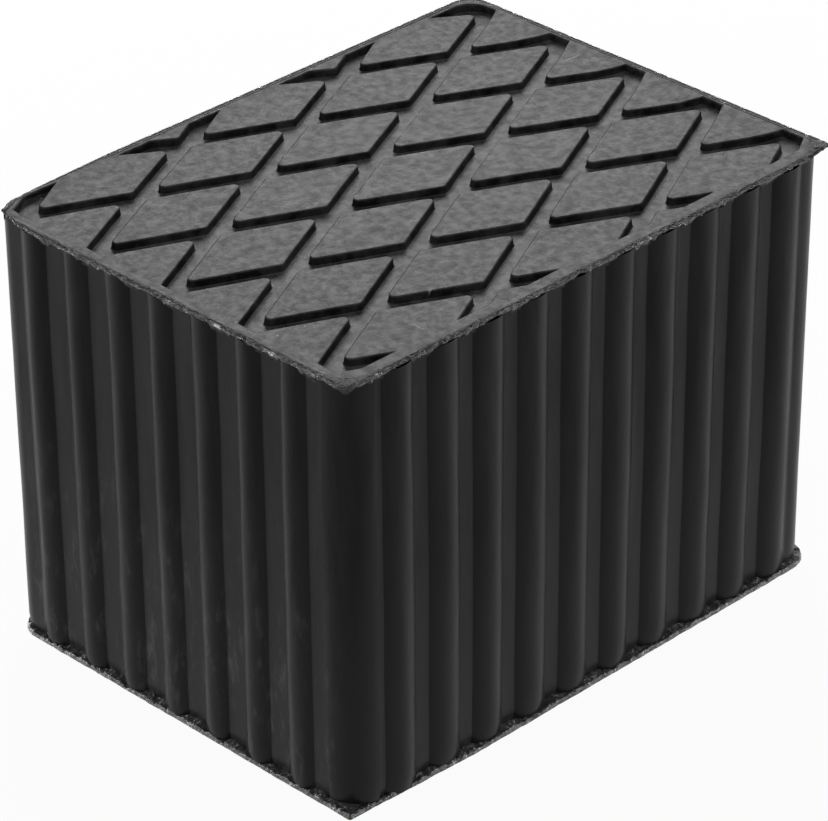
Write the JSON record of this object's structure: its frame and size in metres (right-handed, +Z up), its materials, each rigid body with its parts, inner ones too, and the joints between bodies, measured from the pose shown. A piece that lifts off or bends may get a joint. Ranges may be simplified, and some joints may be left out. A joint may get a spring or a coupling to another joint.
{
  "type": "lift rubber pad",
  "caption": "Black moulded rubber block with a rhombic tread on top and upright ribs on its sides, a support pad for a vehicle lift arm",
  "frame": {"origin": "middle of the underside", "axes": "+X along the length, +Y along the width, +Z up through the tread"},
  "size_m": [0.16, 0.12, 0.115],
  "materials": {
    "rubber": "satin moulded rubber, unpolished, with flash left on its edges"
  },
  "bodies": {
    "root": {"rubber_block": "rubber"}
  },
  "joints": []
}
